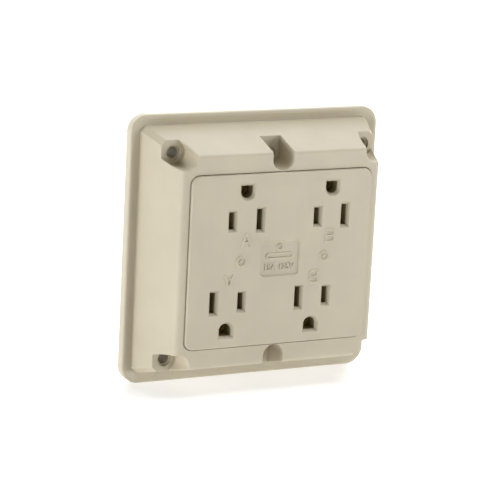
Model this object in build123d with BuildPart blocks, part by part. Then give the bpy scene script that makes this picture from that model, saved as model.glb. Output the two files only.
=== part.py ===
from build123d import *
import os
from math import atan, cos, degrees, hypot

# Four-outlet surface receptacle (NEMA 5-15R) on a square raised cover, as its separate pieces.
# All sizes are in millimetres.  X points right and Z up, as seen by someone plugging in.  The wall is
# the plane Y = 0 and the front faces -Y.  A "height" is always the distance in front of the wall.

os.makedirs("parts", exist_ok=True)

# ---- outlets: spacing of the blade slots and the earth hole follows the NEMA 5-15 pattern ----
blade_pitch = 12.7
earth_offset = 11.89
outlet_rise = 17.05
outlet_inner_x = 16.0
outlet_outer_x = 23.0
slot_width = 2.3
hot_slot = 7.1
neutral_slot = 8.7
lead_in = 1.05
lead_in_depth = 1.5
earth_hole_radius = 2.6
earth_hole_flat = 2.5

# ---- outer form: flange, sloped sides, plateau and the raised outlet panel ----
flange_half = 57.15
flange_corner = 7.5
flange_round = 0.9
crest_height = 4.5
crest_half = 55.6
gutter_height = 3.7
gutter_half = 52.7
gutter_run_on = 1.1
plateau_height = 30.3
plateau_half = 44.8
plateau_round = 2.0
hip_cut = 2.2
hip_round = 0.8
wall = 2.2
rim_half = flange_half - 2.25
rim_depth = 2.0
panel_top = 31.5
panel_x = 41.25
panel_z = 36.5
panel_corner = 3.75
panel_gap = 0.3
panel_bevel = 1.5
panel_bevel_drop = 0.3
panel_round = 0.5
lip_width_x = 1.35
lip_width_z = 1.9
ceiling_height = plateau_height - wall
cut_past = 1.0
edge_slack = 0.5

# ---- screw pockets: four on the 4 in square box, two on the single-gang box ----
corner_screw = 43.5
gang_screw = 41.67
corner_pocket = 5.0
gang_pocket = 4.75
pocket_floor = 16.6
pocket_rim = 0.35
foot_round = 0.4
pocket_wall = 1.6
pocket_wall_top = 29.2
corner_hole = 2.3
gang_hole = 2.05
corner_seat = 3.15
gang_seat = 2.9
seat_depth = 1.2
tube_radius = 4.5

# ---- heights of the inner layers ----
rear_back = 6.0
rear_front = 8.0
neutral_level = 11.0
line_level = 14.1
earth_level = 17.6
face_back = 26.0
strip = 1.0
earth_strip = 1.2
contact_top = 25.4
sleeve_top = 23.5

# ---- contact carrier ----
carrier_x = 42.0
carrier_z = 34.5
carrier_corner = 3.0
recess_x = 32.2
recess_z = 22.2
fit_gap = 0.1
well_x = 5.6
line_well_z = 8.6
neutral_well_z = 10.0
earth_well = 3.5
pad_rise = 3.4
pad_half_x = 9.4
pad_below = 6.4
pad_above = 16.0
pad_hole_gap = 0.1

# ---- terminals: x and z of the circuit A screws; circuit B is the same turned half a turn ----
terminal_x = 36.0
line_terminal_z = 8.0
neutral_terminal_z = -5.0
earth_terminal_x = -33.5
earth_z = outlet_rise + earth_offset
leg_x = 31.0
terminal_pad_x = 9.5
terminal_pad_z = 8.0
terminal_thread = 2.05
pad_clearance = 0.2
running_gap = 0.05
screw_tip = 13.5

# ---- earth strap ----
earth_bar = 5.2
strap_end = 3.5
strap_spine = 6.0
strap_gap = 0.2
earth_leg_x = earth_terminal_x + 5.5
earth_pad_shift = 0.5
earth_pad_x = 11.0
earth_pad_z = 7.6

# ---- assembly screws ----
assembly_x = 22.0
assembly_z = 42.5
assembly_shank = 1.45
assembly_length = 11.0
boss_radius = 3.4

side_slope = (gutter_half - plateau_half) / (plateau_height - gutter_height)
gutter_fall = (crest_height - gutter_height) / (crest_half - gutter_half)
wall_across = wall / cos(atan(side_slope))

# Each outlet is its middle between the blades and its turn: the lower pair hangs upside down.
outlets = [
    (-outlet_inner_x, outlet_rise, 0),
    (outlet_outer_x, outlet_rise, 0),
    (-outlet_outer_x, -outlet_rise, 180),
    (outlet_inner_x, -outlet_rise, 180),
]


def front(height, x=0.0, z=0.0, upright=1):
    """A plane that faces the user, its own x along X and its own y along Z, or both turned back by -1."""
    return Plane(origin=(x, -height, z), x_dir=(upright, 0, 0), z_dir=(0, -1, 0))


def section(x, z):
    """A level plane across a contact: its own x across the blade, its own y towards the user."""
    return Plane(origin=(x, 0, z), x_dir=(1, 0, 0), z_dir=(0, 0, -1))


def outlet_places():
    return [Location((x, z, 0), (0, 0, turn)) for x, z, turn in outlets]


def on_outlets(dx, dz):
    """Where a point of one outlet's own layout falls on the device, for all four outlets."""
    points = []
    for x, z, turn in outlets:
        sign = -1 if turn else 1
        points.append((x + sign * dx, z + sign * dz))
    return points


def is_rim(edge):
    """True for an edge round a pocket's mouth: it rises above the floor and isn't a wall's corner."""
    rises = -edge.bounding_box().min.Y > pocket_floor + edge_slack
    return rises and abs(edge.tangent_at(0.5).Y) < 0.995


def is_foot(edge):
    """True for an edge where the raised body meets the gutter."""
    box = edge.bounding_box()
    return max(box.size.Y, abs(box.center().Y + gutter_height)) < edge_slack


def outer_half(height):
    return gutter_half - (height - gutter_height) * side_slope


def save(part, name):
    part.label = name
    export_step(part, f"parts/{name}.step")


line_points = on_outlets(-blade_pitch / 2, 0)
neutral_points = on_outlets(blade_pitch / 2, 0)
earth_points = on_outlets(0, earth_offset)
assembly_points = [(x, z) for x in (-assembly_x, assembly_x) for z in (-assembly_z, assembly_z)]


def channel(radius, reach=20.0):
    """A round-ended slot that opens outwards along the local x."""
    Circle(radius)
    with Locations((reach / 2, 0)):
        Rectangle(reach, 2 * radius)


def d_shape(radius, flat):
    """The earth hole: half round towards the blades, square on the far side."""
    Circle(radius)
    with Locations((0, flat / 2)):
        Rectangle(2 * radius, flat)


def span(x0, x1, z0, z1, mode=Mode.ADD):
    """A rectangle between two x values and two z values of the current sketch."""
    with Locations(((x0 + x1) / 2, (z0 + z1) / 2)):
        Rectangle(abs(x1 - x0), abs(z1 - z0), mode=mode)


def outlet_openings(grow):
    """One outlet's two slots and earth hole, with every side moved out by grow."""
    with Locations((-blade_pitch / 2, 0)):
        Rectangle(slot_width + 2 * grow, hot_slot + 2 * grow)
    with Locations((blade_pitch / 2, 0)):
        Rectangle(slot_width + 2 * grow, neutral_slot + 2 * grow)
    with Locations((0, earth_offset)):
        d_shape(earth_hole_radius + grow, earth_hole_flat + grow)


def outlet_pad(grow):
    """The pad behind one outlet, round its slots and earth hole, moved out by grow."""
    span(-pad_half_x - grow, pad_half_x + grow, -pad_below - grow, pad_above + grow)


# ======================================================================= front cover
corner_polar = dict(radius=hypot(corner_screw, corner_screw), count=4, start_angle=45)
gang_polar = dict(radius=gang_screw, count=2, start_angle=90)

# The hollow behind the cover, with the pocket walls, screw tubes and bosses left standing in it.
inner_cut = hip_cut - (2 - 2 ** 0.5) * wall_across
with BuildPart() as hollow:
    for height in (-cut_past, ceiling_height):
        with BuildSketch(front(height)) as inner:
            inner_half = outer_half(height) - wall_across
            Rectangle(2 * inner_half, 2 * inner_half)
            chamfer(inner.vertices(), inner_cut)
    loft(ruled=True)
    with BuildSketch(front(-cut_past)):
        RectangleRounded(2 * rim_half, 2 * rim_half, flange_corner - 2)
    extrude(amount=cut_past + rim_depth)
    with BuildSketch(front(pocket_floor - wall)):
        with PolarLocations(**corner_polar):
            channel(corner_pocket + pocket_wall)
        with PolarLocations(**gang_polar):
            channel(gang_pocket + pocket_wall)
    extrude(amount=ceiling_height, mode=Mode.SUBTRACT)
    with BuildSketch(front(0)):
        with PolarLocations(**corner_polar):
            Circle(tube_radius)
        with PolarLocations(**gang_polar):
            Circle(tube_radius)
    extrude(amount=pocket_floor, mode=Mode.SUBTRACT)
    with BuildSketch(front(rear_front)):
        with Locations(*assembly_points):
            Circle(boss_radius)
    extrude(amount=ceiling_height, mode=Mode.SUBTRACT)

# The window for the outlet panel; the gang pockets' walls tuck under the panel's edge.
with BuildPart() as window:
    with BuildSketch(front(ceiling_height - edge_slack)):
        RectangleRounded(2 * (panel_x + panel_gap), 2 * (panel_z + panel_gap), panel_corner + panel_gap)
    extrude(amount=panel_top - ceiling_height)
    with BuildSketch(front(ceiling_height - cut_past)):
        with PolarLocations(**gang_polar):
            Circle(gang_pocket + pocket_wall)
    extrude(amount=pocket_wall_top - ceiling_height + cut_past, mode=Mode.SUBTRACT)

# The steep-sided raised body: a square frustum whose four hips are cut off flat and softened.
with BuildPart() as raised_body:
    for height in (rim_depth, plateau_height):
        with BuildSketch(front(height)) as outline:
            Rectangle(2 * outer_half(height), 2 * outer_half(height))
            chamfer(outline.vertices(), hip_cut)
    loft(ruled=True)
    fillet(raised_body.faces().sort_by(Axis.Y)[0].edges(), plateau_round)
    fillet([edge for edge in raised_body.edges() if edge.bounding_box().size.Y > rim_depth + wall], hip_round)

with BuildPart() as front_cover:
    with BuildSketch(front(0)):
        RectangleRounded(2 * flange_half, 2 * flange_half, flange_corner)
    extrude(amount=crest_height)
    fillet(front_cover.faces().sort_by(Axis.Y)[0].edges(), flange_round)
    for half in (crest_half, gutter_half - gutter_run_on):
        with BuildSketch(front(crest_height - (crest_half - half) * gutter_fall)):
            RectangleRounded(2 * half, 2 * half, flange_corner - flange_half + half)
    loft(ruled=True, mode=Mode.SUBTRACT)
    add(raised_body.part)
    fillet([edge for edge in front_cover.edges(Select.LAST) if is_foot(edge)], foot_round)
    add(hollow.part, mode=Mode.SUBTRACT)
    with BuildSketch(front(pocket_floor)):
        with PolarLocations(**corner_polar):
            channel(corner_pocket)
        with PolarLocations(**gang_polar):
            channel(gang_pocket)
    extrude(amount=panel_top, mode=Mode.SUBTRACT)
    fillet([edge for edge in front_cover.edges(Select.LAST) if is_rim(edge)], pocket_rim)
    with BuildSketch(front(0)):
        with PolarLocations(**corner_polar):
            Circle(corner_hole)
        with PolarLocations(**gang_polar):
            Circle(gang_hole)
    extrude(amount=panel_top, mode=Mode.SUBTRACT)
    with BuildSketch(front(pocket_floor - seat_depth)):
        with PolarLocations(**corner_polar):
            Circle(corner_seat)
        with PolarLocations(**gang_polar):
            Circle(gang_seat)
    extrude(amount=2 * seat_depth, mode=Mode.SUBTRACT)
    with BuildSketch(front(rear_front)):
        with Locations(*assembly_points):
            Circle(assembly_shank + running_gap)
    extrude(amount=assembly_length, mode=Mode.SUBTRACT)
    add(window.part, mode=Mode.SUBTRACT)
save(front_cover.part, "front_cover")

# ======================================================================= receptacle face
badge_x = 18.3
badge_z = 15.2
badge_corner = 2.0
badge_rise = 0.35
badge_depth = 0.8
badge_relief = 0.5
emblem_place = (0.0, 5.1)
emblem_radius = 1.4
name_bar_place = (0.0, 1.3)
name_bar_x = 13.0
name_bar_z = 3.0
relief = 0.5
relief_draft = 30
letter_height = 6.0
letter_width = 4.6
stroke = 1.0
crossbar_share = 1.3
letter_a_place = (-outlet_inner_x, 9.0)
letter_b_place = (22.7, 8.8)
letter_a_turned = (-outlet_outer_x, -8.2)
letter_b_turned = (outlet_inner_x, -8.4)
ring_places = [(-18.0, 0.2), (20.3, 0.3)]
ring_radius = 2.3
ring_stroke = 0.7
ring_dot = 0.7


def letter_a():
    """An A drawn with three round-ended strokes."""
    half = (letter_width - stroke) / 2
    rise = letter_height - stroke
    lean = degrees(atan(rise / half))
    with Locations(Location((-half / 2, 0, 0), (0, 0, lean)), Location((half / 2, 0, 0), (0, 0, -lean))):
        SlotCenterToCenter(hypot(half, rise), stroke)
    with Locations((0, -letter_height / 6)):
        Rectangle(crossbar_share * half, stroke)


def letter_b():
    """A B drawn as an upright and two equal bowls."""
    bowl = (letter_height + stroke) / 4
    left = -letter_width / 2
    straight = letter_width - bowl
    centres = (letter_height / 4 - stroke / 4, -letter_height / 4 + stroke / 4)
    for radius, mode in ((bowl, Mode.ADD), (bowl - stroke, Mode.SUBTRACT)):
        for centre in centres:
            with Locations((left + straight / 2, centre)):
                Rectangle(straight, 2 * radius, mode=mode)
            with Locations((left + straight, centre)):
                Circle(radius, mode=mode)
    with Locations((left + stroke / 2, 0)):
        Rectangle(stroke, letter_height)


with BuildPart() as receptacle_face:
    with BuildSketch(front(face_back)):
        RectangleRounded(2 * panel_x, 2 * panel_z, panel_corner)
    extrude(amount=panel_top - face_back)
    rim_edges = receptacle_face.faces().sort_by(Axis.Y)[0].edges()
    chamfer(rim_edges, panel_bevel_drop, panel_bevel, reference=receptacle_face.faces().sort_by(Axis.Y)[0])
    fillet(receptacle_face.faces().sort_by(Axis.Y)[0].edges(), panel_round)
    with BuildSketch(front(face_back)):
        RectangleRounded(2 * (panel_x + lip_width_x), 2 * (panel_z + lip_width_z), panel_corner)
    extrude(amount=ceiling_height - face_back)
    with BuildSketch(front(face_back)):
        with PolarLocations(**corner_polar):
            Circle(corner_pocket + pocket_wall + 3 * fit_gap)
    extrude(amount=ceiling_height - face_back, mode=Mode.SUBTRACT)
    with BuildSketch(front(face_back)):
        with PolarLocations(**gang_polar):
            channel(gang_pocket + pocket_wall + 2 * fit_gap)
    extrude(amount=pocket_wall_top + 2 * fit_gap - face_back, mode=Mode.SUBTRACT)
    with BuildSketch(front(face_back)):
        with Locations(*outlet_places()):
            outlet_pad(fit_gap)
    extrude(amount=pad_rise + fit_gap, mode=Mode.SUBTRACT)
    with BuildSketch(front(face_back)):
        with Locations(*outlet_places()):
            outlet_openings(0)
    extrude(amount=panel_top - face_back, mode=Mode.SUBTRACT)
    with BuildSketch(front(panel_top)):
        with Locations(*outlet_places()):
            outlet_openings(lead_in)
    extrude(amount=-lead_in_depth, taper=degrees(atan(lead_in / lead_in_depth)), mode=Mode.SUBTRACT)
    with BuildSketch(front(panel_top, z=badge_rise)):
        RectangleRounded(badge_x, badge_z, badge_corner)
    extrude(amount=-badge_depth, taper=relief_draft, mode=Mode.SUBTRACT)
    with BuildSketch(front(panel_top - badge_depth)):
        with Locations(emblem_place):
            Circle(emblem_radius)
            Circle(emblem_radius - ring_stroke, mode=Mode.SUBTRACT)
        with Locations(name_bar_place):
            SlotOverall(name_bar_x, name_bar_z)
            SlotOverall(name_bar_x - 2 * stroke, name_bar_z - 2 * stroke, mode=Mode.SUBTRACT)
    extrude(amount=badge_relief, taper=relief_draft)
    with BuildSketch(front(panel_top)):
        with Locations(letter_a_place, Location((*letter_a_turned, 0), (0, 0, 180))):
            letter_a()
        with Locations(*ring_places):
            Circle(ring_radius)
            Circle(ring_radius - ring_stroke, mode=Mode.SUBTRACT)
            Circle(ring_dot)
    extrude(amount=relief, taper=relief_draft)
    for place, upright in ((letter_b_place, 1), (letter_b_turned, -1)):
        with BuildSketch(front(panel_top, *place, upright)):
            letter_b()
        extrude(amount=relief, taper=relief_draft)
save(receptacle_face.part, "receptacle_face")

# ======================================================================= contact carrier
with BuildPart() as contact_carrier:
    with BuildSketch(front(rear_front)):
        RectangleRounded(2 * carrier_x, 2 * carrier_z, carrier_corner)
    extrude(amount=face_back - rear_front)
    with BuildSketch(front(face_back)):
        with Locations(*outlet_places()):
            outlet_pad(0)
    extrude(amount=pad_rise)
    with BuildSketch(front(rear_front)):
        Rectangle(2 * recess_x, 2 * recess_z)
    extrude(amount=line_level + strip + fit_gap - rear_front, mode=Mode.SUBTRACT)
    with BuildSketch(front(rear_front)):
        with PolarLocations(0, 2):
            span(
                -outlet_inner_x - strap_end - strap_gap,
                outlet_outer_x + strap_end + strap_gap,
                earth_z - earth_bar / 2 - strap_gap,
                earth_z + earth_bar / 2 + strap_gap,
            )
        span(
            earth_leg_x - strip / 2 - fit_gap,
            -outlet_inner_x,
            earth_z - earth_bar / 2 - strap_gap,
            earth_z + earth_bar / 2 + strap_gap,
        )
        Rectangle(strap_spine + 2 * strap_gap, 2 * earth_z)
    extrude(amount=earth_level + earth_strip + fit_gap - rear_front, mode=Mode.SUBTRACT)
    with BuildSketch(front(rear_front)):
        with Locations(*line_points):
            Rectangle(well_x, line_well_z)
        with Locations(*neutral_points):
            Rectangle(well_x, neutral_well_z)
        with Locations(*earth_points):
            Circle(earth_well)
    extrude(amount=face_back - rear_front, mode=Mode.SUBTRACT)
    with BuildSketch(front(face_back)):
        with Locations(*outlet_places()):
            outlet_openings(pad_hole_gap)
    extrude(amount=pad_rise, mode=Mode.SUBTRACT)
    with BuildSketch(front(rear_front)):
        with PolarLocations(0, 2):
            with Locations((-terminal_x, line_terminal_z), (-terminal_x, neutral_terminal_z)):
                Rectangle(terminal_pad_x + 2 * pad_clearance, terminal_pad_z + 2 * pad_clearance)
        with Locations((earth_terminal_x + earth_pad_shift, earth_z)):
            Rectangle(earth_pad_x + 2 * pad_clearance, earth_pad_z + 2 * pad_clearance)
    extrude(amount=strip + fit_gap, mode=Mode.SUBTRACT)
    with BuildSketch(front(rear_front)):
        with PolarLocations(0, 2):
            with Locations((-terminal_x, line_terminal_z), (-terminal_x, neutral_terminal_z)):
                Circle(terminal_thread + 2 * pad_clearance)
        with Locations((earth_terminal_x, earth_z)):
            Circle(terminal_thread + 2 * pad_clearance)
    extrude(amount=screw_tip + cut_past - rear_front, mode=Mode.SUBTRACT)
save(contact_carrier.part, "contact_carrier")

# ======================================================================= current-carrying strips
link_neck = 1.4
link_width = 4.0
link_window = 2.2
line_column = 10.4
line_column_x = (outlet_inner_x + outlet_outer_x) / 2
neutral_column = 5.0
bus_end = 4.2
sheet_gap = 0.1
leg_clearance = 1.0
rivet_dimple = 0.6
rivet_head = 1.5
rivet_head_thick = 0.4
rivet_shank = 0.85
rivet_dome = 0.25
rivet_hole = rivet_shank + running_gap


def terminal_pad(x, z, top):
    """The tapped pad of a terminal and the leg that joins it to its strip, with its hole."""
    side = 1 if x > 0 else -1
    leg_centre = side * leg_x
    inner_edge = side * (leg_x - strip / 2)
    outer_edge = x + side * (terminal_pad_x / 2 - pad_clearance)
    with BuildPart(mode=Mode.PRIVATE) as pad:
        with BuildSketch(front(rear_front)):
            with Locations(((inner_edge + outer_edge) / 2, z)):
                Rectangle(abs(outer_edge - inner_edge), terminal_pad_z)
        extrude(amount=strip)
        with BuildSketch(front(rear_front)):
            with Locations((leg_centre, z)):
                Rectangle(strip, neutral_column)
        extrude(amount=top - rear_front)
        with BuildSketch(front(rear_front)):
            with Locations((x, z)):
                Circle(terminal_thread + running_gap)
        extrude(amount=strip, mode=Mode.SUBTRACT)
    return pad.part


def break_off_link():
    """Cut both edges of the middle bar back to a narrow neck, where it is snapped to part A from B."""
    for side in (-1, 1):
        with Locations((0, side * (link_width + link_neck) / 4)):
            Rectangle(link_window, (link_width - link_neck) / 2, mode=Mode.SUBTRACT)


line_pads = [terminal_pad(s * -terminal_x, s * line_terminal_z, line_level + strip) for s in (1, -1)]
neutral_pads = [terminal_pad(s * -terminal_x, s * neutral_terminal_z, neutral_level + strip) for s in (1, -1)]

with BuildPart() as line_bus:
    with BuildSketch(front(line_level)):
        with PolarLocations(0, 2):
            with Locations((-line_column_x, 0)):
                Rectangle(line_column, 2 * (outlet_rise + bus_end))
            with Locations((-(line_column_x + leg_x) / 2, line_terminal_z)):
                Rectangle(leg_x - line_column_x + strip, neutral_column)
            with Locations((-line_column_x / 2, 0)):
                Rectangle(line_column_x, link_width)
        break_off_link()
        with Locations(*line_points):
            Circle(rivet_hole, mode=Mode.SUBTRACT)
    extrude(amount=strip)
    for pad in line_pads:
        add(pad)
save(line_bus.part, "line_bus")

neutral_inner_x = outlet_inner_x - blade_pitch / 2
neutral_outer_x = outlet_outer_x + blade_pitch / 2
half_column = neutral_column / 2
with BuildPart() as neutral_bus:
    with BuildSketch(front(neutral_level)):
        with PolarLocations(0, 2):
            span(
                -neutral_inner_x - half_column,
                -neutral_inner_x + half_column,
                neutral_terminal_z - half_column,
                outlet_rise + bus_end,
            )
            span(
                -leg_x - strip / 2,
                -neutral_inner_x,
                neutral_terminal_z - half_column,
                neutral_terminal_z + half_column,
            )
            span(
                -neutral_outer_x - half_column,
                -neutral_outer_x + half_column,
                -outlet_rise - bus_end,
                neutral_terminal_z + half_column,
            )
            span(-neutral_inner_x, 0, -link_width / 2, link_width / 2)
        break_off_link()
        with Locations(*neutral_points):
            Circle(rivet_hole, mode=Mode.SUBTRACT)
    extrude(amount=strip)
    for pad in neutral_pads:
        add(pad)
save(neutral_bus.part, "neutral_bus")

# The sheet that keeps the line bus off the neutral bus; the neutral contacts pass through it.
with BuildPart() as bus_insulator:
    insulator_back = neutral_level + strip + fit_gap
    with BuildSketch(front(insulator_back)):
        Rectangle(2 * (recess_x - 2 * sheet_gap), 2 * (recess_z - 2 * sheet_gap))
        with Locations(*neutral_points):
            Rectangle(well_x - 2 * sheet_gap, neutral_well_z - 2 * sheet_gap, mode=Mode.SUBTRACT)
        with PolarLocations(0, 2):
            with Locations((-recess_x, line_terminal_z)):
                Rectangle(2 * (recess_x - leg_x + strip), neutral_column + leg_clearance, mode=Mode.SUBTRACT)
    extrude(amount=line_level - insulator_back)
    with BuildSketch(front(line_level - rivet_dimple)):
        with Locations(*line_points):
            Circle(rivet_head + 3 * sheet_gap)
    extrude(amount=rivet_dimple, mode=Mode.SUBTRACT)
save(bus_insulator.part, "bus_insulator")

with BuildPart() as ground_strap:
    with BuildSketch(front(earth_level)):
        with PolarLocations(0, 2):
            span(
                -outlet_inner_x - strap_end,
                outlet_outer_x + strap_end,
                earth_z - earth_bar / 2,
                earth_z + earth_bar / 2,
            )
        span(earth_leg_x - strip / 2, -outlet_inner_x, earth_z - earth_bar / 2, earth_z + earth_bar / 2)
        Rectangle(strap_spine, 2 * earth_z)
        with Locations(*earth_points):
            Circle(rivet_hole, mode=Mode.SUBTRACT)
    extrude(amount=earth_strip)
    with BuildSketch(front(rear_front)):
        with Locations((earth_leg_x, earth_z)):
            Rectangle(strip, earth_bar)
    extrude(amount=earth_level + earth_strip - rear_front)
    with BuildSketch(front(rear_front)):
        with Locations((earth_terminal_x + earth_pad_shift, earth_z)):
            Rectangle(earth_pad_x, earth_pad_z)
        with Locations((earth_terminal_x, earth_z)):
            Circle(terminal_thread + running_gap, mode=Mode.SUBTRACT)
    extrude(amount=strip)
save(ground_strap.part, "ground_strap")

# ======================================================================= contacts and their rivets
leaf = 0.6
clip_half = 2.3
pinch_half = 0.6
mouth_half = 1.7
bend_rise = 3.0
waist_drop = 4.0
leaf_slit = 0.8
leaf_slit_rise = 1.0
sleeve_radius = 3.2
sleeve_slit = 0.8
sleeve_flare = 0.4
sleeve_slit_start = 1.5


def blade_clip(x, z, level, width):
    """Two facing spring leaves on a foot: they lean in to a pinch and open again at the mouth."""
    waist = contact_top - waist_drop
    with BuildPart(mode=Mode.PRIVATE) as clip:
        with BuildSketch(section(x, z)):
            for side in (1, -1):
                with BuildLine():
                    Polyline(
                        (0, level),
                        (side * clip_half, level),
                        (side * clip_half, level + bend_rise),
                        (side * (pinch_half + leaf), waist),
                        (side * (mouth_half + leaf), contact_top),
                        (side * mouth_half, contact_top),
                        (side * pinch_half, waist),
                        (side * (clip_half - leaf), level + bend_rise),
                        (side * (clip_half - leaf), level + leaf),
                        (0, level + leaf),
                        close=True,
                    )
                make_face()
        extrude(amount=width / 2, both=True)
        with BuildSketch(front(level, x, z)):
            Circle(rivet_hole)
        extrude(amount=leaf, mode=Mode.SUBTRACT)
        with BuildSketch(section(x, z)):
            with Locations((0, (level + contact_top) / 2 + leaf_slit_rise)):
                Rectangle(3 * clip_half, contact_top - level)
        extrude(amount=leaf_slit / 2, both=True, mode=Mode.SUBTRACT)
    return clip.part


def rivet(x, z, back, grip):
    """A rivet through a foot and its strip: a shank with a domed head at each end."""
    with BuildPart(mode=Mode.PRIVATE) as piece:
        with BuildSketch(front(back - rivet_head_thick, x, z)):
            Circle(rivet_head)
        extrude(amount=rivet_head_thick)
        with BuildSketch(front(back, x, z)):
            Circle(rivet_shank)
        extrude(amount=grip)
        with BuildSketch(front(back + grip, x, z)):
            Circle(rivet_head)
        extrude(amount=rivet_head_thick)
        for end in (0, -1):
            chamfer(piece.faces().sort_by(Axis.Y)[end].edges(), rivet_dome)
    return piece.part


def earth_sleeve(x, z):
    """The round earth contact: a slit sleeve with a flared mouth on a riveted foot."""
    level = earth_level + earth_strip
    with BuildPart(mode=Mode.PRIVATE) as sleeve:
        with BuildSketch(front(level, x, z)):
            Circle(sleeve_radius)
        extrude(amount=sleeve_top - level)
        with BuildSketch(front(level + leaf, x, z)):
            Circle(sleeve_radius - leaf)
        extrude(amount=sleeve_top - level, mode=Mode.SUBTRACT)
        chamfer(sleeve.faces().sort_by(Axis.Y)[0].edges().sort_by(SortBy.LENGTH)[0], sleeve_flare)
        with BuildSketch(front(level + sleeve_slit_start, x, z)):
            Rectangle(sleeve_slit, 3 * sleeve_radius)
        extrude(amount=sleeve_top - level, mode=Mode.SUBTRACT)
        with BuildSketch(front(level, x, z)):
            Circle(rivet_hole)
        extrude(amount=leaf, mode=Mode.SUBTRACT)
    return sleeve.part


with BuildPart() as line_contacts:
    for x, z in line_points:
        add(blade_clip(x, z, line_level + strip, hot_slot))
save(line_contacts.part, "line_contacts")

with BuildPart() as neutral_contacts:
    for x, z in neutral_points:
        add(blade_clip(x, z, neutral_level + strip, neutral_slot))
save(neutral_contacts.part, "neutral_contacts")

with BuildPart() as ground_contacts:
    for x, z in earth_points:
        add(earth_sleeve(x, z))
save(ground_contacts.part, "ground_contacts")

with BuildPart() as contact_rivets:
    for x, z in line_points:
        add(rivet(x, z, line_level, strip + leaf))
    for x, z in neutral_points:
        add(rivet(x, z, neutral_level, strip + leaf))
save(contact_rivets.part, "contact_rivets")

with BuildPart() as ground_rivets:
    for x, z in earth_points:
        add(rivet(x, z, earth_level, earth_strip + leaf))
save(ground_rivets.part, "ground_rivets")

# ======================================================================= rear cover and its screws
rear_half = 47.5
rear_corner = 4.0
tube_gap = 0.5
shank_gap = 0.2
link_access_x = 13.0
link_access_z = 7.0
side_recess_place = (20.5, 14.0)
side_recess_x = 13.0
side_recess_z = 19.0
middle_recess_rise = 17.0
middle_recess_x = 17.0
middle_recess_z = 21.0
recess_corner = 1.5
recess_depth = 0.6
round_mark = 3.0
collar_outer = 4.2
collar_inner = 3.4
barrier_back = 2.0
barrier_thick = 1.2
barrier_reach = 6.5
barrier_long = 24.0
barrier_x = 29.6
barrier_z = (line_terminal_z + neutral_terminal_z) / 2
window_x = 10.4
window_z = 9.0
post_places = [(-neutral_inner_x, 6.5), (-21.0, neutral_terminal_z)]
post_radius = 1.6
assembly_head = 3.0
assembly_head_thick = 1.7
head_round = 0.8
shank_point = 0.6
cross_x = 3.0
cross_z = 0.8
cross_depth = 1.0
terminals = {
    "line_a": (-terminal_x, line_terminal_z),
    "line_b": (terminal_x, -line_terminal_z),
    "neutral_a": (-terminal_x, neutral_terminal_z),
    "neutral_b": (terminal_x, -neutral_terminal_z),
    "ground": (earth_terminal_x, earth_z),
}

with BuildPart() as rear_cover:
    with BuildSketch(front(rear_back)):
        RectangleRounded(2 * rear_half, 2 * rear_half, rear_corner)
    extrude(amount=rear_front - rear_back)
    with BuildSketch(front(rear_back)):
        with PolarLocations(**corner_polar):
            channel(tube_radius + tube_gap)
        with PolarLocations(**gang_polar):
            channel(tube_radius + tube_gap)
        with Locations(*assembly_points):
            Circle(assembly_shank + shank_gap)
        with Locations(*terminals.values()):
            Rectangle(window_x, window_z)
        SlotOverall(link_access_x, link_access_z)
    extrude(amount=rear_front - rear_back, mode=Mode.SUBTRACT)
    with BuildSketch(front(rear_back)):
        with GridLocations(2 * side_recess_place[0], 2 * side_recess_place[1], 2, 2):
            RectangleRounded(side_recess_x, side_recess_z, recess_corner)
        with GridLocations(0, 2 * middle_recess_rise, 1, 2):
            RectangleRounded(middle_recess_x, middle_recess_z, recess_corner)
    extrude(amount=recess_depth, mode=Mode.SUBTRACT)
    with BuildSketch(front(rear_back)):
        with GridLocations(2 * side_recess_place[0], 2 * side_recess_place[1], 2, 2):
            Circle(round_mark)
        with Locations(*assembly_points):
            Circle(collar_outer)
            Circle(collar_inner, mode=Mode.SUBTRACT)
    extrude(amount=recess_depth)
    with BuildSketch(front(barrier_back)):
        with PolarLocations(0, 2):
            with Locations((-(barrier_x + terminal_x + barrier_reach) / 2, barrier_z)):
                Rectangle(terminal_x + barrier_reach - barrier_x, barrier_thick)
            with Locations((-barrier_x, barrier_z)):
                Rectangle(barrier_thick, barrier_long)
    extrude(amount=rear_back - barrier_back)
    with BuildSketch(front(rear_front)):
        with PolarLocations(0, 2):
            with Locations(*post_places):
                Circle(post_radius)
    extrude(amount=neutral_level - rear_front)
save(rear_cover.part, "rear_cover")


def pan_screw(x, z):
    """A cross-slotted pan-head screw, put in from behind the rear cover."""
    with BuildPart(mode=Mode.PRIVATE) as screw:
        with BuildSketch(front(rear_back - assembly_head_thick, x, z)):
            Circle(assembly_head)
        extrude(amount=assembly_head_thick)
        fillet(screw.faces().sort_by(Axis.Y)[-1].edges(), head_round)
        with BuildSketch(front(rear_back, x, z)):
            Circle(assembly_shank)
        extrude(amount=assembly_length)
        chamfer(screw.faces().sort_by(Axis.Y)[0].edges(), shank_point)
        with BuildSketch(front(rear_back - assembly_head_thick, x, z)):
            for turn in (0, 90):
                Rectangle(cross_x, cross_z, rotation=turn)
        extrude(amount=cross_depth, mode=Mode.SUBTRACT)
    return screw.part


with BuildPart() as assembly_screws:
    for x, z in assembly_points:
        add(pan_screw(x, z))
save(assembly_screws.part, "assembly_screws")

# ======================================================================= terminal screws and clamps
screw_head = 3.5
screw_head_thick = 1.95
screw_head_bevel = 0.35
screw_point = 0.5
screw_slot = 1.0
screw_cross = 3.6
screw_slot_depth = 1.1
clamp_x = 9.2
clamp_z = 7.8
clamp_thick = 1.2
clamp_corner = 1.0
clamp_hole_gap = 0.25
clamp_bevel = 0.3
grip_place = 3.3
grip_width = 0.5
grip_depth = 0.3
clamp_back = rear_front - fit_gap - clamp_thick
head_front = clamp_back - running_gap
head_back = head_front - screw_head_thick


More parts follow.
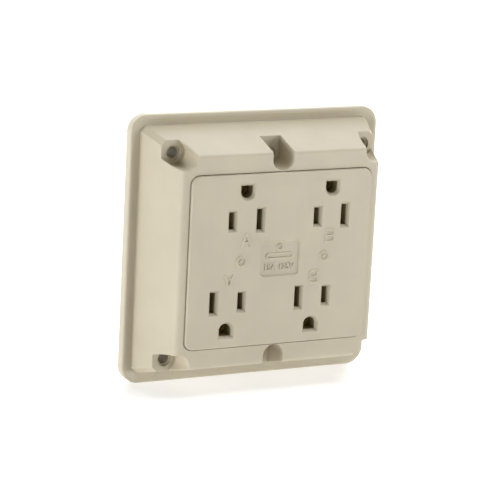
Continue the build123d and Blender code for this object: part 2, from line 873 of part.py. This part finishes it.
def terminal_screw(name, x, z, six_sided):
    """A binding screw: a slotted and crossed head behind its clamp, and a plain shank in the pad."""
    with BuildPart() as screw:
        with BuildSketch(front(head_back, x, z)):
            if six_sided:
                RegularPolygon(screw_head, 6)
            else:
                Circle(screw_head)
        extrude(amount=screw_head_thick)
        chamfer(screw.faces().sort_by(Axis.Y)[-1].edges(), screw_head_bevel)
        with BuildSketch(front(head_front, x, z)):
            Circle(terminal_thread)
        extrude(amount=screw_tip - head_front)
        chamfer(screw.faces().sort_by(Axis.Y)[0].edges(), screw_point)
        with BuildSketch(front(head_back, x, z)):
            Rectangle(2 * screw_head + cut_past, screw_slot)
            Rectangle(screw_slot, screw_cross)
        extrude(amount=screw_slot_depth, mode=Mode.SUBTRACT)
    save(screw.part, name)


def terminal_clamp(name, x, z):
    """A square pressure plate, held under the screw head, with two grip grooves facing the pad."""
    with BuildPart() as clamp:
        with BuildSketch(front(clamp_back, x, z)):
            RectangleRounded(clamp_x, clamp_z, clamp_corner)
            Circle(terminal_thread + clamp_hole_gap, mode=Mode.SUBTRACT)
        extrude(amount=clamp_thick)
        chamfer(clamp.faces().sort_by(Axis.Y)[-1].outer_wire().edges(), clamp_bevel)
        with BuildSketch(front(clamp_back + clamp_thick, x, z)):
            for side in (-1, 1):
                with Locations((side * grip_place, 0)):
                    Rectangle(grip_width, clamp_z)
        extrude(amount=-grip_depth, mode=Mode.SUBTRACT)
    save(clamp.part, name)


for terminal, (x, z) in terminals.items():
    terminal_screw(f"{terminal}_screw", x, z, terminal == "ground")
    terminal_clamp(f"{terminal}_clamp", x, z)
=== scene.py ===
from math import cos, radians, sin

import bmesh
import bpy
from mathutils import Matrix, Vector


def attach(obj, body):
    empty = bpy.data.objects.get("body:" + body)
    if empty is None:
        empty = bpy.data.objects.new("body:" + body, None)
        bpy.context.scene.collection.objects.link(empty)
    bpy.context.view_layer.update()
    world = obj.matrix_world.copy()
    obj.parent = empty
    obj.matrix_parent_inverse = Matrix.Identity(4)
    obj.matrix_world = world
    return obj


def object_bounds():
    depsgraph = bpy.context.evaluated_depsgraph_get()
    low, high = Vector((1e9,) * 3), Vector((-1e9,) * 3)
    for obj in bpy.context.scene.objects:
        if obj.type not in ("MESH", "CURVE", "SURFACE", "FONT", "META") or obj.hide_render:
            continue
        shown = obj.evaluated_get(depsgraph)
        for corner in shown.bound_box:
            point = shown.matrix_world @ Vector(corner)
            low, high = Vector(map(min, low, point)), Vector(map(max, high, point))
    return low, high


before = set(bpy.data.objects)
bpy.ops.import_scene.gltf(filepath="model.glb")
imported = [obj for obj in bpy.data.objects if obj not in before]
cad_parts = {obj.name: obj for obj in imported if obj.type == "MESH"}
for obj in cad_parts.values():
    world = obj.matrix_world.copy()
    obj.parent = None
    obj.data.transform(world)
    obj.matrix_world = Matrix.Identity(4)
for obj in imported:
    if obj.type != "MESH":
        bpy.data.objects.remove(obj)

cad_low, cad_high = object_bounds()
MM = 0.001
WHITE = (1, 1, 1, 1)

# ---------------------------------------------------------------- camera
# The front of the object faces -Y.  The camera stands to its left and a little above it.
CAMERA_YAW = radians(26.8)
CAMERA_PITCH = radians(13.8)
CAMERA_ROLL = radians(3.0)
CAMERA_DISTANCE = 0.966
CAMERA_AIM = Vector((-0.01083, -0.02521, 0.00298))
CAMERA_LENS = 168.9
CAMERA_SENSOR = 36.0
CAMERA_CLIP_START = 0.05


def make_camera():
    away = Vector((
        -sin(CAMERA_YAW) * cos(CAMERA_PITCH),
        -cos(CAMERA_YAW) * cos(CAMERA_PITCH),
        sin(CAMERA_PITCH),
    ))
    camera = bpy.data.objects.new("camera", bpy.data.cameras.new("camera"))
    camera.data.lens = CAMERA_LENS
    camera.data.sensor_width = CAMERA_SENSOR
    camera.data.clip_start = CAMERA_CLIP_START
    camera.location = CAMERA_AIM + CAMERA_DISTANCE * away
    turn = away.to_track_quat("Z", "Y").to_matrix() @ Matrix.Rotation(CAMERA_ROLL, 3, "Z")
    camera.rotation_euler = turn.to_euler()
    bpy.context.collection.objects.link(camera)
    bpy.context.scene.camera = camera


make_camera()

# ---------------------------------------------------------------- materials
# Each noise is its scale, in cells per metre, and its detail.
MOTTLE_NOISE = (60, 4)
GLOSS_NOISE = (140, 3)
GRAIN_NOISE = (2600, 2)
TARNISH_NOISE = (220, 5)
SCRATCH_NOISE = (900, 4)
RAMP_START, RAMP_END = 0.35, 0.65

PLASTIC_GLOSS_SPREAD = 0.05
PLASTIC_GRAIN_HEIGHT = 0.1 * MM
PLASTIC_IOR = 1.5
SUBSURFACE_RADIUS = (1.2 * MM, 0.9 * MM, 0.6 * MM)
SUBSURFACE_SCALE = 1.0

METAL_TARNISH = 0.12
METAL_GLOSS_SHARE = 0.3
METAL_SCRATCH = 0.15
METAL_SCRATCH_HEIGHT = 0.05 * MM


def new_material(name):
    material = bpy.data.materials.new(name)
    material.use_nodes = True
    shader = material.node_tree.nodes["Principled BSDF"]
    return material, material.node_tree.nodes, material.node_tree.links, shader


def object_noise(nodes, links, scale, detail, stretch=(1, 1, 1)):
    """Noise that is fixed to the object, in metres."""
    place = nodes.new("ShaderNodeTexCoord")
    mapping = nodes.new("ShaderNodeMapping")
    mapping.inputs["Scale"].default_value = stretch
    noise = nodes.new("ShaderNodeTexNoise")
    noise.inputs["Scale"].default_value = scale
    noise.inputs["Detail"].default_value = detail
    links.new(place.outputs["Object"], mapping.inputs["Vector"])
    links.new(mapping.outputs["Vector"], noise.inputs["Vector"])
    return noise.outputs["Fac"]


def ramp(nodes, links, source, low, high):
    """A colour that runs from low to high with the source."""
    node = nodes.new("ShaderNodeValToRGB")
    first, last = node.color_ramp.elements
    first.position, first.color = RAMP_START, (*low, 1)
    last.position, last.color = RAMP_END, (*high, 1)
    links.new(source, node.inputs["Fac"])
    return node.outputs["Color"]


def map_range(nodes, links, source, low, high, start=0.0, end=1.0):
    """A number that runs from low to high as the source runs from start to end."""
    node = nodes.new("ShaderNodeMapRange")
    node.inputs["From Min"].default_value = start
    node.inputs["From Max"].default_value = end
    node.inputs["To Min"].default_value = low
    node.inputs["To Max"].default_value = high
    links.new(source, node.inputs["Value"])
    return node.outputs["Result"]


def bump(nodes, links, source, strength, height):
    node = nodes.new("ShaderNodeBump")
    node.inputs["Strength"].default_value = strength
    node.inputs["Distance"].default_value = height
    links.new(source, node.inputs["Height"])
    return node.outputs["Normal"]


def tinted(colour, factor):
    return tuple(channel * factor for channel in colour)


def plastic(name, colour, roughness, grain=0.08, mottle=0.03, soft=0.0):
    """Moulded plastic: faint mottling, a fine spark-eroded grain and uneven gloss."""
    material, nodes, links, shader = new_material(name)
    cloud = object_noise(nodes, links, *MOTTLE_NOISE)
    tone = ramp(nodes, links, cloud, tinted(colour, 1 - mottle), tinted(colour, 1 + mottle))
    sheen = object_noise(nodes, links, *GLOSS_NOISE)
    gloss = map_range(
        nodes, links, sheen, roughness - PLASTIC_GLOSS_SPREAD, roughness + PLASTIC_GLOSS_SPREAD
    )
    texture = object_noise(nodes, links, *GRAIN_NOISE)
    links.new(tone, shader.inputs["Base Color"])
    links.new(gloss, shader.inputs["Roughness"])
    links.new(bump(nodes, links, texture, grain, PLASTIC_GRAIN_HEIGHT), shader.inputs["Normal"])
    shader.inputs["IOR"].default_value = PLASTIC_IOR
    shader.inputs["Subsurface Weight"].default_value = soft
    shader.inputs["Subsurface Radius"].default_value = SUBSURFACE_RADIUS
    shader.inputs["Subsurface Scale"].default_value = SUBSURFACE_SCALE
    return material


def metal(name, colour, roughness, stretch=(1, 1, 1)):
    """Rolled or plated metal: drawn scratches, slight tarnish and uneven gloss."""
    material, nodes, links, shader = new_material(name)
    cloud = object_noise(nodes, links, *TARNISH_NOISE)
    tone = ramp(nodes, links, cloud, tinted(colour, 1 - METAL_TARNISH), colour)
    lines = object_noise(nodes, links, *SCRATCH_NOISE, stretch)
    gloss = map_range(
        nodes, links, lines,
        roughness * (1 - METAL_GLOSS_SHARE), roughness * (1 + METAL_GLOSS_SHARE),
    )
    scratches = bump(nodes, links, lines, METAL_SCRATCH, METAL_SCRATCH_HEIGHT)
    links.new(tone, shader.inputs["Base Color"])
    links.new(gloss, shader.inputs["Roughness"])
    links.new(scratches, shader.inputs["Normal"])
    shader.inputs["Metallic"].default_value = 1.0
    return material


IVORY = (0.52, 0.467, 0.350)
cover_plastic = plastic("ivory_cover", IVORY, 0.42, soft=0.08)
face_plastic = plastic("ivory_face", tinted(IVORY, 0.97), 0.38, soft=0.08)
carrier_plastic = plastic("dark_thermoset", (0.30, 0.25, 0.13), 0.55, grain=0.2, mottle=0.10)
rear_plastic = plastic("rear_thermoset", (0.055, 0.052, 0.048), 0.5, grain=0.2, mottle=0.12)
fibre = plastic("fibre_sheet", (0.14, 0.06, 0.03), 0.7, grain=0.4, mottle=0.2)
brass = metal("brass", (0.56, 0.43, 0.22), 0.34, (1, 1, 12))
brass_bright = metal("brass_screw", (0.50, 0.37, 0.18), 0.33)
nickel = metal("nickel_screw", (0.40, 0.39, 0.365), 0.33)
zinc = metal("zinc_steel", (0.36, 0.37, 0.385), 0.38, (12, 1, 1))
green = metal("green_screw", (0.03, 0.17, 0.065), 0.33)

NODE_MATERIALS = {
    "front_cover": cover_plastic,
    "receptacle_face": face_plastic,
    "contact_carrier": carrier_plastic,
    "rear_cover": rear_plastic,
    "bus_insulator": fibre,
    "line_bus": brass,
    "neutral_bus": brass,
    "line_contacts": brass,
    "neutral_contacts": brass,
    "contact_rivets": brass,
    "ground_strap": zinc,
    "ground_contacts": brass,
    "ground_rivets": brass,
    "assembly_screws": zinc,
    "line_a_screw": brass_bright,
    "line_b_screw": brass_bright,
    "neutral_a_screw": nickel,
    "neutral_b_screw": nickel,
    "ground_screw": green,
    "line_a_clamp": brass_bright,
    "line_b_clamp": brass_bright,
    "neutral_a_clamp": nickel,
    "neutral_b_clamp": nickel,
    "ground_clamp": zinc,
}
for node, material in NODE_MATERIALS.items():
    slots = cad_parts[node].data.materials
    slots.clear()
    slots.append(material)


# ---------------------------------------------------------------- rating marks
BADGE_FLOOR = 30.7 * MM
RATING = "15A 125V"
RATING_SIZE = 3.5 * MM
RATING_CENTRE_Z = -3.5 * MM
RATING_HALF_THICK = 0.17 * MM
RATING_EDGE = 0.07 * MM
RATING_EDGE_STEPS = 1


def make_rating():
    """The raised rating on the badge, lettered as plainly as the circuit marks."""
    text = bpy.data.curves.new("rating_text", "FONT")
    text.body = RATING
    text.size = RATING_SIZE
    text.align_x = "CENTER"
    text.align_y = "CENTER"
    text.extrude = RATING_HALF_THICK
    text.bevel_depth = RATING_EDGE
    text.bevel_resolution = RATING_EDGE_STEPS
    outline = bpy.data.objects.new("rating_text", text)
    mesh = bpy.data.meshes.new_from_object(outline)
    bpy.data.objects.remove(outline)
    middle = (0, -BADGE_FLOOR - RATING_HALF_THICK, RATING_CENTRE_Z)
    mesh.transform(Matrix.Rotation(radians(90), 4, "X"))
    mesh.transform(Matrix.Translation(middle))
    mesh.materials.clear()
    mesh.materials.append(face_plastic)
    rating = bpy.data.objects.new("rating_marks", mesh)
    bpy.context.collection.objects.link(rating)
    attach(rating, "root")


make_rating()

# ---------------------------------------------------------------- floor
FLOOR_COLOUR = (0.66, 0.66, 0.665, 1)
FLOOR_ROUGHNESS = 0.25
FLOOR_SPECULAR = 0.35
FLOOR_HALF_WIDTH = 1.6
FLOOR_FRONT = -1.6
SWEEP_START = 1.3
SWEEP_RADIUS = 1.0
SWEEP_STEPS = 24
SWEEP_TOP = 2.5
# The floor has a painted glow, which also lightens the object's shadow on it and lights the
# object from below; it glows more with its distance from the object.
FLOOR_GLOW = 0.56
FLOOR_EDGE_GLOW = 1.0
GLOW_START, GLOW_END = 0.9, 1.5


def floor_profile():
    """The floor's line from front to back, as Y and Z."""
    level = cad_low[2]
    profile = [(FLOOR_FRONT, level), (SWEEP_START, level)]
    for step in range(1, SWEEP_STEPS + 1):
        angle = radians(90) * step / SWEEP_STEPS
        profile.append((
            SWEEP_START + SWEEP_RADIUS * sin(angle),
            level + SWEEP_RADIUS * (1 - cos(angle)),
        ))
    profile.append((SWEEP_START + SWEEP_RADIUS, level + SWEEP_TOP))
    return profile


def floor_material():
    material, nodes, links, shader = new_material("floor")
    place = nodes.new("ShaderNodeTexCoord")
    distance = nodes.new("ShaderNodeVectorMath")
    distance.operation = "LENGTH"
    links.new(place.outputs["Object"], distance.inputs[0])
    glow = map_range(
        nodes, links, distance.outputs["Value"],
        FLOOR_GLOW, FLOOR_EDGE_GLOW, GLOW_START, GLOW_END,
    )
    links.new(glow, shader.inputs["Emission Strength"])
    shader.inputs["Emission Color"].default_value = WHITE
    shader.inputs["Base Color"].default_value = FLOOR_COLOUR
    shader.inputs["Roughness"].default_value = FLOOR_ROUGHNESS
    shader.inputs["Specular IOR Level"].default_value = FLOOR_SPECULAR
    return material


def make_floor():
    """A seamless sweep: flat under the object, curving up far behind it.  Its painted glow rises
    towards its edges, so that no edge of it shows against the white surround from any side."""
    shape = bmesh.new()
    rows = [
        [shape.verts.new((side * FLOOR_HALF_WIDTH, y, z)) for side in (-1, 1)]
        for y, z in floor_profile()
    ]
    for near, far in zip(rows, rows[1:]):
        shape.faces.new((near[0], near[1], far[1], far[0]))
    mesh = bpy.data.meshes.new("floor")
    shape.to_mesh(mesh)
    shape.free()
    for face in mesh.polygons:
        face.use_smooth = True
    mesh.materials.append(floor_material())
    floor = bpy.data.objects.new("floor", mesh)
    bpy.context.collection.objects.link(floor)


# ---------------------------------------------------------------- light
# Each light is its place, the point it faces, its width and height, and its power in watts.
LIGHTS = {
    "front_right_softbox": ((1.15, -1.3, 0.05), (0, 0, 0), (0.8, 0.5), 14),
    "left_softbox": ((-1.5, -0.15, 0.1), (0, 0, 0), (0.8, 0.5), 17),
    "top_softbox": ((0.6, -0.1, 1.5), (0, 0, 0), (1.0, 1.0), 22),
    "floor_wash": ((0.0, 1.6, 1.6), (0, 0.9, 0), (3.0, 1.5), 24),
    "rear_softbox": ((0.9, 1.4, 0.3), (0, 0, 0), (0.8, 0.8), 5),
}
WORLD_STRENGTH = 0.10
BACKDROP_STRENGTH = 1.05


def make_world():
    """A dim studio for the object, and a white surround for what the camera sees past it."""
    world = bpy.data.worlds.new("studio")
    bpy.context.scene.world = world
    world.use_nodes = True
    nodes, links = world.node_tree.nodes, world.node_tree.links
    surround = nodes["Background"]
    surround.inputs["Color"].default_value = WHITE
    surround.inputs["Strength"].default_value = WORLD_STRENGTH
    backdrop = nodes.new("ShaderNodeBackground")
    backdrop.inputs["Color"].default_value = WHITE
    backdrop.inputs["Strength"].default_value = BACKDROP_STRENGTH
    path = nodes.new("ShaderNodeLightPath")
    mix = nodes.new("ShaderNodeMixShader")
    links.new(path.outputs["Is Camera Ray"], mix.inputs["Fac"])
    links.new(surround.outputs["Background"], mix.inputs[1])
    links.new(backdrop.outputs["Background"], mix.inputs[2])
    links.new(mix.outputs["Shader"], nodes["World Output"].inputs["Surface"])


def make_light(name, place, target, size, power):
    light = bpy.data.lights.new(name, "AREA")
    light.shape = "RECTANGLE"
    light.size, light.size_y = size
    light.energy = power
    lamp = bpy.data.objects.new(name, light)
    lamp.location = place
    direction = Vector(place) - Vector(target)
    lamp.rotation_euler = direction.to_track_quat("Z", "Y").to_euler()
    bpy.context.collection.objects.link(lamp)


make_floor()
make_world()
for name, (place, target, size, power) in LIGHTS.items():
    make_light(name, place, target, size, power)
bpy.context.scene.view_settings.view_transform = "Standard"
